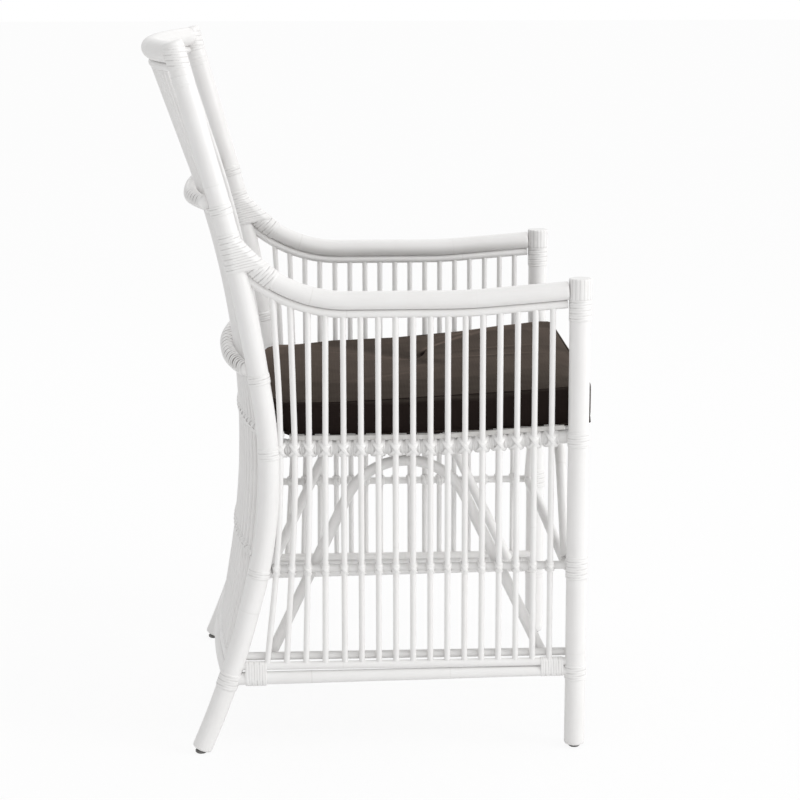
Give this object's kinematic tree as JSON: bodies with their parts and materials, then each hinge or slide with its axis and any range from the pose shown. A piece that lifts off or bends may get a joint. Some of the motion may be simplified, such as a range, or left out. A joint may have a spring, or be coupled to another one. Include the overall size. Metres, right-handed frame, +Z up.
{
  "type": "rattan armchair",
  "caption": "White rattan armchair with spindled sides and bowed back, arched braces and a dark box cushion.",
  "frame": {"origin": "on the floor, under the centre of the chair's overall box", "axes": "+Z up; the sitter faces -Y; +X is the sitter's left"},
  "size_m": [0.5592, 0.608, 0.9636],
  "materials": {
    "white_rattan": "satin paint over cane",
    "white_peel": "satin paint over flat peel",
    "white_slat": "satin paint",
    "charcoal_cloth": "smooth matt upholstery cloth",
    "glide_plastic": "matt",
    "screw_steel": "plated"
  },
  "bodies": {
    "root": {"rear_leg_left": "white_rattan", "rear_leg_right": "white_rattan", "front_leg_left": "white_rattan", "front_leg_right": "white_rattan", "arm_left": "white_rattan", "arm_right": "white_rattan", "arm_liner_left": "white_rattan", "arm_liner_right": "white_rattan", "side_spindles_left": "white_rattan", "side_spindles_right": "white_rattan", "seat_side_rail_left": "white_rattan", "seat_side_rail_right": "white_rattan", "mid_side_rail_left": "white_rattan", "mid_side_rail_right": "white_rattan", "bottom_side_rail_left": "white_rattan", "bottom_side_rail_right": "white_rattan", "bottom_liner_left": "white_rattan", "bottom_liner_right": "white_rattan", "inner_bottom_rail_left": "white_rattan", "inner_bottom_rail_right": "white_rattan", "side_arch_left": "white_rattan", "side_arch_right": "white_rattan", "front_seat_rail": "white_rattan", "front_stretcher": "white_rattan", "front_arch": "white_rattan", "top_rail": "white_rattan", "top_liner": "white_rattan", "upper_bow_rail": "white_rattan", "upper_bow_winding": "white_peel", "lower_bow_rail": "white_rattan", "lower_bow_winding": "white_peel", "back_seat_rail": "white_rattan", "back_mid_rail": "white_rattan", "back_bottom_rail": "white_rattan", "back_bottom_liner": "white_rattan", "back_spindles": "white_rattan", "seat_slats": "white_slat", "seat_edge_strips": "white_slat", "cushion": "charcoal_cloth", "glides": "glide_plastic", "joint_screws": "screw_steel", "arm_caps": "white_peel", "front_leg_bindings": "white_peel", "rear_leg_bindings": "white_peel", "arm_rear_bindings": "white_peel", "bottom_sleeves": "white_peel", "top_rail_bindings": "white_peel", "bow_end_bindings": "white_peel", "seat_lashings_left": "white_peel", "seat_lashings_right": "white_peel", "mid_lashings_left": "white_peel", "mid_lashings_right": "white_peel", "back_seat_lashings": "white_peel", "back_mid_lashings": "white_peel"}
  },
  "joints": []
}
